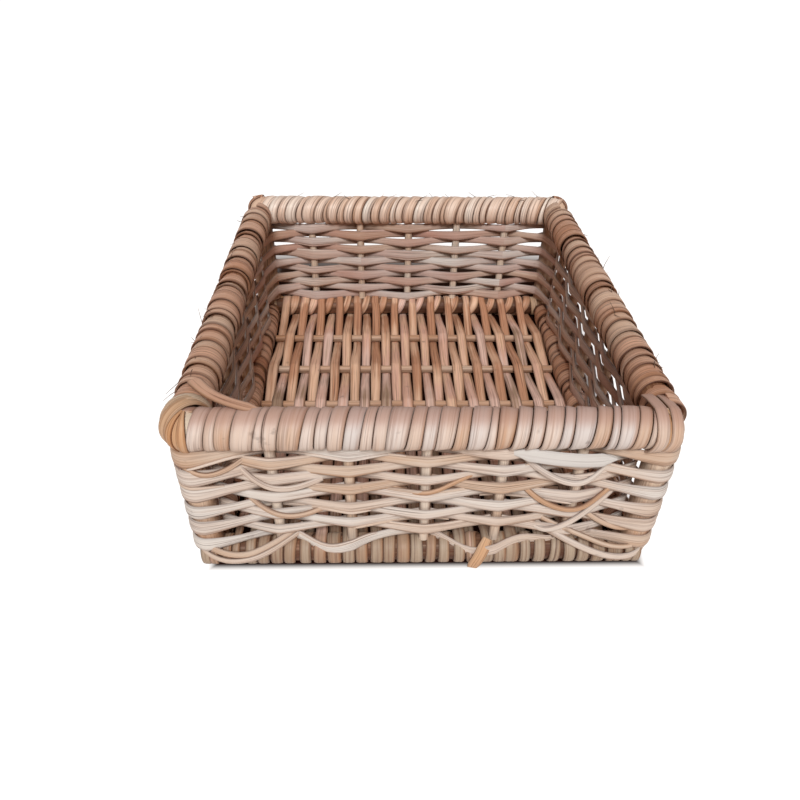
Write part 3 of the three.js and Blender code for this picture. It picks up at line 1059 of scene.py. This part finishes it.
crossings = [
    ([(-126, 80, 4), (-120, 73, 8), (-111, 69, 8), (-100, 71, 4), (-92, 75, -1)], 3.2, 0.7),
    ([(-98, 71, -1), (-89, 63, 3.5), (-79, 58.5, 6.2), (-67, 57.5, 4), (-54, 60, -1)], 3.8, 0.35),
    ([(-94, 49, -1), (-86, 43.5, 3.5), (-76, 39, 6), (-64, 38, 4), (-50, 41.5, -1)], 3.6, 0.75),
    ([(-18, 54, -1), (-6, 52.5, 3), (4, 55.5, 6), (16, 60, 2), (24, 62, -1)], 2.8, 1.0),
    ([(44, 82, -1), (56, 70, 3), (70, 62, 5.5), (82, 61, 6.2), (94, 68, -1)], 4.0, 0.2),
    ([(50, 56, -1), (60, 47, 3), (73, 42, 5.5), (84, 43.5, 6.2), (97, 54, 1)], 3.4, 1.0),
    ([(58, 27, -1), (66, 24, 3.5), (78, 33, 6.2), (92, 45, 3), (101, 53, -1)], 3.8, 0.3),
    ([(84, 38, -1), (95, 31, 3), (106, 27, 4.5), (115, 27.5, 4), (122, 30, 1)], 3.6, 0.85),
]
crossing_strands = [on_front(*crossing, seed) for seed, crossing in enumerate(crossings, start=511)]
add_piece("front_crossings", crossing_strands, "weaver")
print(len(loops), "loops and", len(crossings), "crossing strands on the front wall")

# %% [markdown]
# The splint is wider, flatter and paler than a weaver, and the stray strip is a stiff end of the
# base's own cane. Both are flat strips along a few points, as the rim's tucked tail is.

# %% Splint and stray strip
splint_points = [(40, -152.5, 81), (52, -155.5, 80.8), (66, -156.6, 79), (82, -157, 78), (95, -157, 79.5)]
splint = loose_strip(splint_points, -up, 8.6 * mm, thin_strip, 507, tone=0.1, taper=0.1, blunt=3.0)
add_piece("front_splint", [splint], "splint", slot="weaver")
stray_points = [(27, -156, 2.6), (28, -157.6, 7), (30, -157.6, 11.5), (32.5, -155.5, 16), (35, -151.5, 19.5)]
stray = loose_strip(stray_points, (1, 0, -0.3), 7.2 * mm, thin_strip, 508, tone=0.6, taper=0.8)
add_piece("front_stray", [stray], "base_strip")
print("splint and stray strip on the front wall")

# %% [markdown]
# Fine fibres stand off the cane where its skin was split. Most are on the back and side rims. They
# are thin bent tubes of one piece, scattered with a seeded generator. Their dark colour is painted
# shade for hairs that stand in shadow.

# %% Stray fibres
thin_section = [(-0.5, 0.0), (0.0, 0.5), (0.5, 0.0), (0.0, -0.5)]
fibre_thickness = 0.55 * mm


def fibre(root, direction, length, bend, seed):
    """A thin tube of four sides that bends away from its direction and thins toward its tip."""
    share = np.linspace(0, 1, 9)[:, None]
    points = root + direction * length * share + bend * length * share**2
    width = fibre_thickness * (1 - 0.6 * share[:, 0])
    across = np.cross(direction, (0.3, 0.5, 0.8))
    return lay(thin_section, Path(points, across, width, width, seed, tone=0.7 + 0.5 * (seed * 0.37 % 1)))


def add_fibres():
    random = np.random.default_rng(31)
    reach = rim_half_depth - 12 * mm
    back = ((-rim_half_width, rim_half_depth, rim_z), (rim_half_width, rim_half_depth, rim_z), (0, 1.0, 0))
    left = ((-rim_half_width, -reach, rim_z), (-rim_half_width, reach, rim_z), (-1.0, 0, 0))
    right = ((rim_half_width, -reach, rim_z), (rim_half_width, reach, rim_z), (1.0, 0, 0))
    meshes = []
    for (start, end, outward), count in ((back, 34), (left, 16), (right, 14)):
        start, end, outward = np.array(start), np.array(end), np.array(outward)
        axis = unit(end - start)
        for _ in range(count):
            angle = random.uniform(-0.5, 1.9)
            spoke = math.cos(angle) * up + math.sin(angle) * outward
            root = start + (end - start) * random.uniform(0.04, 0.96) + spoke * (rim_radius - 0.6 * mm)
            direction = unit(spoke * random.uniform(0.15, 0.7) + axis * random.choice((-1, 1)))
            bend = random.uniform(-0.5, 0.5, 3)
            meshes.append(fibre(root, direction, random.uniform(4, 10) * mm, bend, len(meshes) + 600))
    add_piece("stray_fibres", meshes, "fibre", slot="rim_strip")
    print(len(meshes), "stray fibres")


add_fibres()

# %% [markdown]
# Woven floor
#
# The floor is a single strand. It runs from the front rod to the back one and back again, over and
# under five cross sticks, and goes once and a half round a rod at each end. It goes to the back
# over both rods and comes forward beneath both, so strips of two kinds lie side by side: honey
# coloured ones with the skin up, and pinker ones with the core up.

# %% Floor strand
floor_strip = 1.6 * mm
floor_half_width = size_of("floor_stick_1").x / 2
floor_sticks = sorted(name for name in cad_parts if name.startswith("floor_stick_"))
stick_radius = size_of("floor_stick_1").z / 2
stick_places = [middle_of(name).y for name in floor_sticks]
floor_strips = 28
end_turns = 3
over_width, under_width, rod_width = 7.6 * mm, 6.6 * mm, 6.7 * mm
honey, pink, pale = 0.82, 0.56, 0.08


def round_rod(outside, x, pitch, first_step, last_step):
    """Points round a base rod, eight to a turn. The strand moves sideways on the inner side only."""
    half_step = math.pi / 8
    corner = (base_radius - floor_strip / 2 - 0.1 * mm) / math.cos(half_step) - 0.15 * mm
    points = []
    for step in range(first_step, last_step + 1):
        angle = (2 * step + 1) * half_step
        whole, part = divmod(step - 4, 8)
        shift = whole + (0, 0.25, 0.75, 1, 1, 1, 1, 1)[part]
        y = outside * (base_half_depth + corner * math.sin(angle))
        points.append((x + pitch * shift, y, base_z + outside * corner * math.cos(angle)))
    return points


def floor_course():
    """Points of the strand, each with its width and its tone."""
    pitch = 2 * floor_half_width / floor_strips
    lanes = [-floor_half_width + (n + 0.5) * pitch for n in range(floor_strips)]
    end_run = lanes[0] + base_half_width + base_radius - over_width / 2 - 2 * mm
    end_pitch = end_run / end_turns
    weave = stick_radius + seat + floor_strip / 2
    course = []

    def add(points, width, tone):
        course.extend((*point, width, tone) for point in points)

    add(round_rod(-1, lanes[0], end_pitch, -1 - end_turns * 8, 4), 0.95 * end_pitch, pale)
    for strip, x in enumerate(lanes):
        to_back = strip % 2 == 0
        tone = honey if to_back else pink
        order = stick_places if to_back else stick_places[::-1]
        ahead = stick_radius if to_back else -stick_radius
        for n, y in enumerate(order):
            over = -1 if (n + strip) % 2 == 0 else 1
            width = over_width if over > 0 else under_width
            add([(x, y - ahead, base_z + over * weave), (x, y + ahead, base_z + over * weave)], width, tone)
        if strip + 1 < floor_strips and to_back:
            add(round_rod(1, x, pitch, -1, 12), rod_width, honey)
        elif strip + 1 < floor_strips:
            add(round_rod(-1, x, pitch, -1, 12), rod_width, pale)
    add(round_rod(-1, lanes[-1], end_pitch, -1, 4 + end_turns * 8), 0.95 * end_pitch, pale)
    return rounded(course)


def add_floor_strand():
    """Lays the strand unevenly, more so round the rods, and thins the turns at the rod's tips."""
    course = floor_course()
    along = run_along(course)
    on_rod = np.clip((np.abs(course[:, 1]) - base_half_depth + base_radius + 4 * mm) / (6 * mm), 0, 1)
    course[:, 0] += (0.35 + 0.95 * on_rod) * mm * drift_line(along, 401, 0.03)
    tip = np.clip((np.abs(course[:, 0]) - base_half_width - base_radius + 7 * mm) / (7 * mm), 0, 1) ** 2
    for axis, place in ((1, -base_half_depth), (2, base_z)):
        course[:, axis] = place + (course[:, axis] - place) * (1 - 0.25 * tip)
    width = course[:, 3] * (1 + (0.07 + 0.11 * on_rod) * drift_line(along, 402, 0.035))
    to_back = 0.2 * course[:, 1] / base_half_depth * (1 - on_rod)
    tone = course[:, 4] + 0.24 * drift_line(along, 403, 0.09) + to_back
    strand = Path(course, (1, 0, 0), width, floor_strip, 41, tone=tone)
    add_piece("floor_weave", [lay(oval_section, strand)], "floor_strip", "floor_strand")


def add_floor_sticks():
    for seed, (node, y) in enumerate(zip(floor_sticks, stick_places), start=410):
        ends = [(sign * floor_half_width, y, base_z) for sign in (-1, 1)]
        add_piece(node + "_cane", [pole(*ends, 2 * stick_radius, seed, tone=0.75)], "stake", node)


add_floor_strand()
add_floor_sticks()
print(floor_strips, "strips across the floor, over and under", len(floor_sticks), "sticks")

# %% [markdown]
# Base bindings
#
# The side rods of the base are bound like the rim, with a wider strip. The back rod's ends, which
# the floor strand doesn't reach, get a few turns of their own.

# %% Base bindings
base_turns = 24
base_end_turns = 2


def add_base_bindings(place, side, seed):
    reach = base_half_depth - base_radius
    x = side * base_half_width
    path = binding(
        (x, reach, base_z), (x, -reach, base_z), base_radius - 0.2 * mm, base_turns, thin_strip,
        lap=1.3 * mm, seed=seed, overlap=1.2 * mm, reverse=side < 0, jitter=0.34, tone=0.5,
    )
    add_piece(f"base_bound_{place}", [lay(flat_section, path)], "side_strip", f"base_binding_{place}")
    node = f"base_end_binding_back_{place}"
    inner, outer = sorted(abs(corner.x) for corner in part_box(node))
    ends = [(side * x, base_half_depth, base_z) for x in (inner, outer)]
    path = binding(*ends, base_radius, base_end_turns, thin_strip, lap=0.3 * mm, seed=seed + 20)
    add_piece(f"base_end_bound_{place}", [lay(flat_section, path)], "base_strip", node)


add_base_bindings("left", -1, 51)
add_base_bindings("right", 1, 55)
print("base bound")

# %% [markdown]
# Stage and light
#
# The stage is a pale floor that the camera sees white. The light is one large soft lamp in front,
# as in a simple product photograph, which is why faces that look forward are brightest and the
# insides of the side walls are darkest. So much white would swallow a cast shadow, and the floor's
# material draws it instead: dark brown where the basket hides the floor from the lamp, lighter
# farther back. The lower holes in the walls look onto it.

# %% Lamp and white for the camera
lamp_place = Vector((-0.09, -3.3, 3.3))
lamp_target = (0, 0, 0.05)
lamp_size = 1.4
lamp_watts = 171.0
white = (1, 1, 1, 1)
backdrop_strength = 1.35
backdrop_share = 0.75


def add_lamp():
    data = bpy.data.lights.new("soft_box", "AREA")
    data.shape = "DISK"
    data.size = lamp_size
    data.energy = lamp_watts
    lamp = bpy.data.objects.new("soft_box", data)
    bpy.context.scene.collection.objects.link(lamp)
    lamp.location = lamp_place
    lamp.rotation_euler = (Vector(lamp_target) - lamp_place).to_track_quat("-Z", "Y").to_euler()


def background_rays(make):
    """1 for a ray from the camera, and for one that a mirror or glass sends on."""
    path = make.node("ShaderNodeLightPath")
    camera, mirrored = path.output("Is Camera Ray"), path.output("Is Glossy Ray")
    seen = path.math("MAXIMUM", camera, mirrored)
    return path.math("MAXIMUM", seen, path.output("Is Transmission Ray"))


def white_to_camera(make, shader, outside):
    """Mixes white into what the camera and its reflections see."""
    glow = make.node("ShaderNodeEmission", None, {"Color": white, "Strength": backdrop_strength})
    share = background_rays(make) * outside * backdrop_share
    return make.node("ShaderNodeMixShader", None, [share, shader, glow])


add_lamp()
print("lamp", round(lamp_place.length, 2), "m from the basket")

# %% [markdown]
# A straight line from the lamp past each corner of the rim and of the base meets the floor at one
# point, and the hull of these points is the floor that the basket hides. The edge is soft, and
# softer toward the back, where the rim that casts it is farther from the floor.

# %% Shadow on the floor
paper = (0.9, 0.83, 0.77, 1)
shadow_brown = (0.03, 0.009, 0.006, 1)
faded_brown = (0.22, 0.16, 0.12, 1)
shadow_shift = Vector((0, -1.5)) * mm
side_margin = 3 * mm
front_softness, back_softness, far_softness = 7 * mm, 28 * mm, 50 * mm


def hidden_floor(*levels):
    """The outline, on the floor, of what rectangles at some heights hide from the lamp."""
    found = []
    for half_width, half_depth, z in levels:
        for x, y in corners.values():
            ray = Vector((x * half_width, y * half_depth, z)) - lamp_place
            found.append((lamp_place - ray * (lamp_place.z / ray.z)).xy + shadow_shift)
    return [found[n] for n in convex_hull_2d(found)]


foot = (base_half_width + 1 * mm, base_half_depth + 1.5 * mm, 0)
top = (rim_half_width, rim_half_depth, wall_top)
shadow_outline = hidden_floor(foot, top)


def outside_share(make, outline):
    """0 on the hidden floor and 1 beyond it. The edge grows softer toward the back."""
    place = make.parts(make.object_place())
    x, y = place.output("X"), place.output("Y")
    centre = sum(outline, Vector((0, 0))) / len(outline)
    softness = y.above(-base_half_depth, rim_half_depth) * back_softness + front_softness
    farthest = None
    for n, first in enumerate(outline):
        run = outline[(n + 1) % len(outline)] - first
        normal = Vector((run.y, -run.x)).normalized()
        if normal.dot(first - centre) < 0:
            normal = -normal
        level = normal.dot(first) + side_margin * normal.x
        distance = x * normal.x + y * normal.y - level
        faded = distance.math("DIVIDE", distance, softness + max(normal.y, 0) * far_softness)
        farthest = faded if farthest is None else farthest.math("MAXIMUM", farthest, faded)
    return farthest.above(0.0, 1.0)


def floor_paint():
    """Pale paper, with the shadow's two browns inside its outline."""
    make = Finish(bpy.data.materials.new("stage_floor"))
    outside = outside_share(make, shadow_outline)
    y = make.parts(make.object_place()).output("Y")
    lighter = y.above(rim_half_depth + 20 * mm, rim_half_depth + 220 * mm)
    brown = make.blend(lighter, shadow_brown, faded_brown)
    paint = make.node("ShaderNodeBsdfDiffuse", None, {"Color": make.blend(outside, brown, paper)})
    return make.done(white_to_camera(make, paint, outside))


print("the shadow's outline has", len(shadow_outline), "corners")

# %% [markdown]
# The floor lies a hair below the basket, so that no two surfaces share a plane. The sky is weak and
# warm. It only fills the shadows, and the camera sees it white.

# %% Floor and sky
floor_size = 4.0
floor_drop = 0.2 * mm
sky_colour = (1, 0.71, 0.6, 1)
sky_strength = 0.18


def add_floor():
    grid = bmesh.new()
    bmesh.ops.create_grid(grid, x_segments=1, y_segments=1, size=floor_size)
    bmesh.ops.translate(grid, verts=grid.verts, vec=(0, 0, -floor_drop))
    mesh = bpy.data.meshes.new("stage_floor")
    grid.to_mesh(mesh)
    grid.free()
    floor = bpy.data.objects.new("stage_floor", mesh)
    bpy.context.scene.collection.objects.link(floor)
    mesh.materials.append(floor_paint())
    floor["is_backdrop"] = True


def add_sky():
    make = Finish(bpy.data.worlds.new("stage_sky"))
    sky = make.node("ShaderNodeBackground", None, {"Color": sky_colour, "Strength": sky_strength})
    backdrop = make.node("ShaderNodeBackground", None, {"Color": white, "Strength": 1.0})
    both = make.node("ShaderNodeMixShader", None, [background_rays(make), sky, backdrop])
    bpy.context.scene.world = make.done(both, "ShaderNodeOutputWorld")


add_floor()
add_sky()
bpy.context.scene.view_settings.view_transform = "Standard"
triangles = sum(len(face.vertices) - 2 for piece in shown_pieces() for face in piece.data.polygons)
print("triangles in the pieces that show:", triangles)
